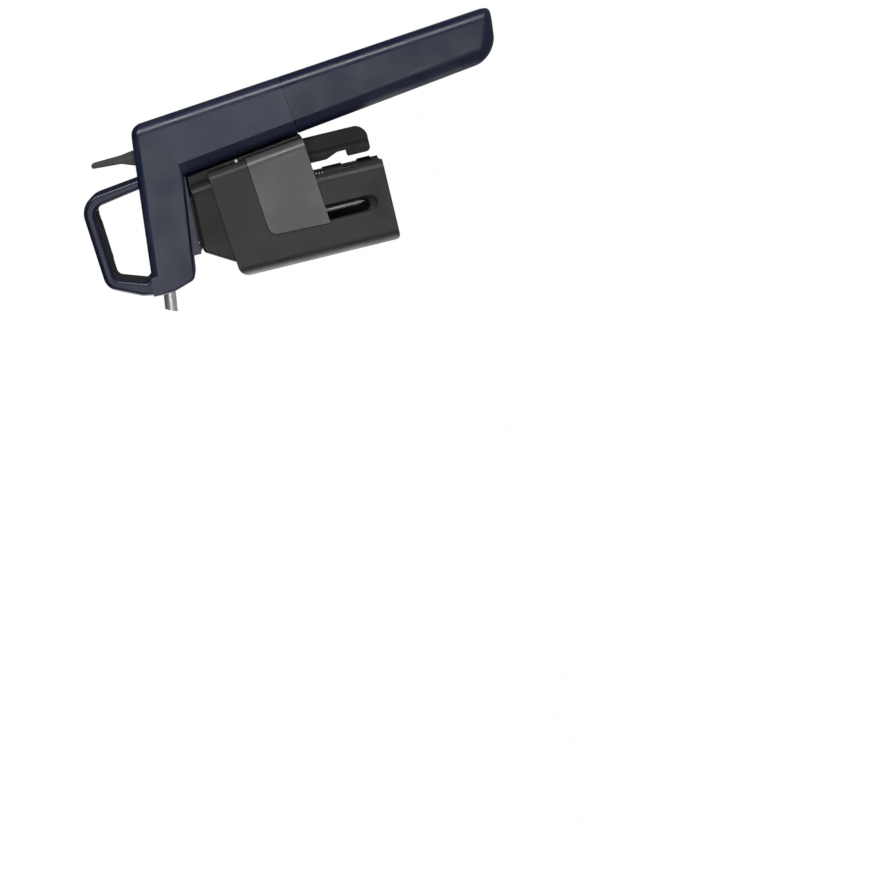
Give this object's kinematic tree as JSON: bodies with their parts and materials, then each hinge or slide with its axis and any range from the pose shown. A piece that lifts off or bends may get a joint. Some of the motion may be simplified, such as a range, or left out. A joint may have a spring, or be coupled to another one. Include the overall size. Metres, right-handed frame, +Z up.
{
  "type": "wine preservation dispenser",
  "caption": "Hand-held dispenser that clamps on a bottle neck: L-shaped gas head with loop handle, trigger, spout and needle, sliding on a rail above a sprung two-shell neck clamp.",
  "frame": {"origin": "centre of the face of the lip pad that rests on the lip of the neck, on the needle axis", "axes": "+Z up the needle towards the loop handle, +X towards the long arm with the gas capsule, Y the depth and the normal of the plane of symmetry"},
  "size_m": [0.1104, 0.045, 0.2185],
  "materials": {
    "navy": "satin",
    "charcoal": "matte",
    "grey": "satin",
    "black": "satin",
    "rubber": "matte",
    "steel": "brushed",
    "brass": "satin"
  },
  "bodies": {
    "base": {"clamp_spine": "black", "clamp_collar": "charcoal", "collar_gasket": "rubber", "needle_bush": "brass", "neck_guide": "black", "lip_pad": "rubber", "guide_screw_1": "steel", "guide_screw_2": "steel", "hinge_pin_near": "steel", "hinge_pin_far": "steel", "hinge_spring_near": "steel", "hinge_spring_far": "steel", "spine_rivet_near": "steel", "spine_rivet_far": "steel"},
    "head": {"head_body": "navy", "loop_handle": "navy", "loop_grip_pad": "rubber", "loop_stud_1": "steel", "loop_stud_2": "steel", "spout": "steel", "spout_seal": "rubber", "trigger_pin": "steel", "valve_body": "brass", "valve_spring": "steel", "gas_link_tube": "brass", "needle": "steel", "needle_hub": "brass", "regulator_body": "brass", "piercing_pin": "steel", "capsule_seal": "rubber", "thread_ring": "steel", "guide_rail": "black", "rail_cross_pin": "steel"},
    "trigger_lever": {"trigger": "charcoal"},
    "stem": {"valve_stem": "steel"},
    "cup": {"capsule_cup": "navy", "capsule_cushion": "rubber", "gas_capsule": "steel"},
    "shell_near": {"clamp_shell_near": "charcoal", "side_plate_near": "grey", "jaw_pad_near": "rubber"},
    "shell_far": {"clamp_shell_far": "charcoal", "side_plate_far": "grey", "jaw_pad_far": "rubber"}
  },
  "joints": [
    {"name": "head_lift", "type": "slide", "parent": "base", "child": "head", "axis": [0, 0, 1], "range_m": [0, 0.062]},
    {"name": "trigger_press", "type": "hinge", "parent": "head", "child": "trigger_lever", "pos_m": [0.0474, 0, 0.03], "axis": [0, -1, 0], "range_deg": [0, 10], "stiffness_Nm_per_rad": 0.35, "springref_deg": -5.73},
    {"name": "stem_push", "type": "slide", "parent": "head", "child": "stem", "axis": [-0.9936, 0, 0.1132], "range_m": [0, 0.00108]},
    {"name": "cup_release", "type": "slide", "parent": "head", "child": "cup", "axis": [0.1054, 0, -0.9944], "range_m": [0, 0.06]},
    {"name": "near_shell_open", "type": "hinge", "parent": "base", "child": "shell_near", "pos_m": [0.0181, -0.0132, 0], "axis": [0, 0, 1], "range_deg": [0, 10], "stiffness_Nm_per_rad": 1.2, "springref_deg": -8.59},
    {"name": "far_shell_open", "type": "hinge", "parent": "base", "child": "shell_far", "pos_m": [0.0181, 0.0132, 0], "axis": [0, 0, -1], "range_deg": [0, 10], "stiffness_Nm_per_rad": 1.2, "springref_deg": -8.59}
  ],
  "couplings": [
    {"joint": "trigger_press", "follows": "stem_push", "rad_per_m": 161.29}
  ]
}
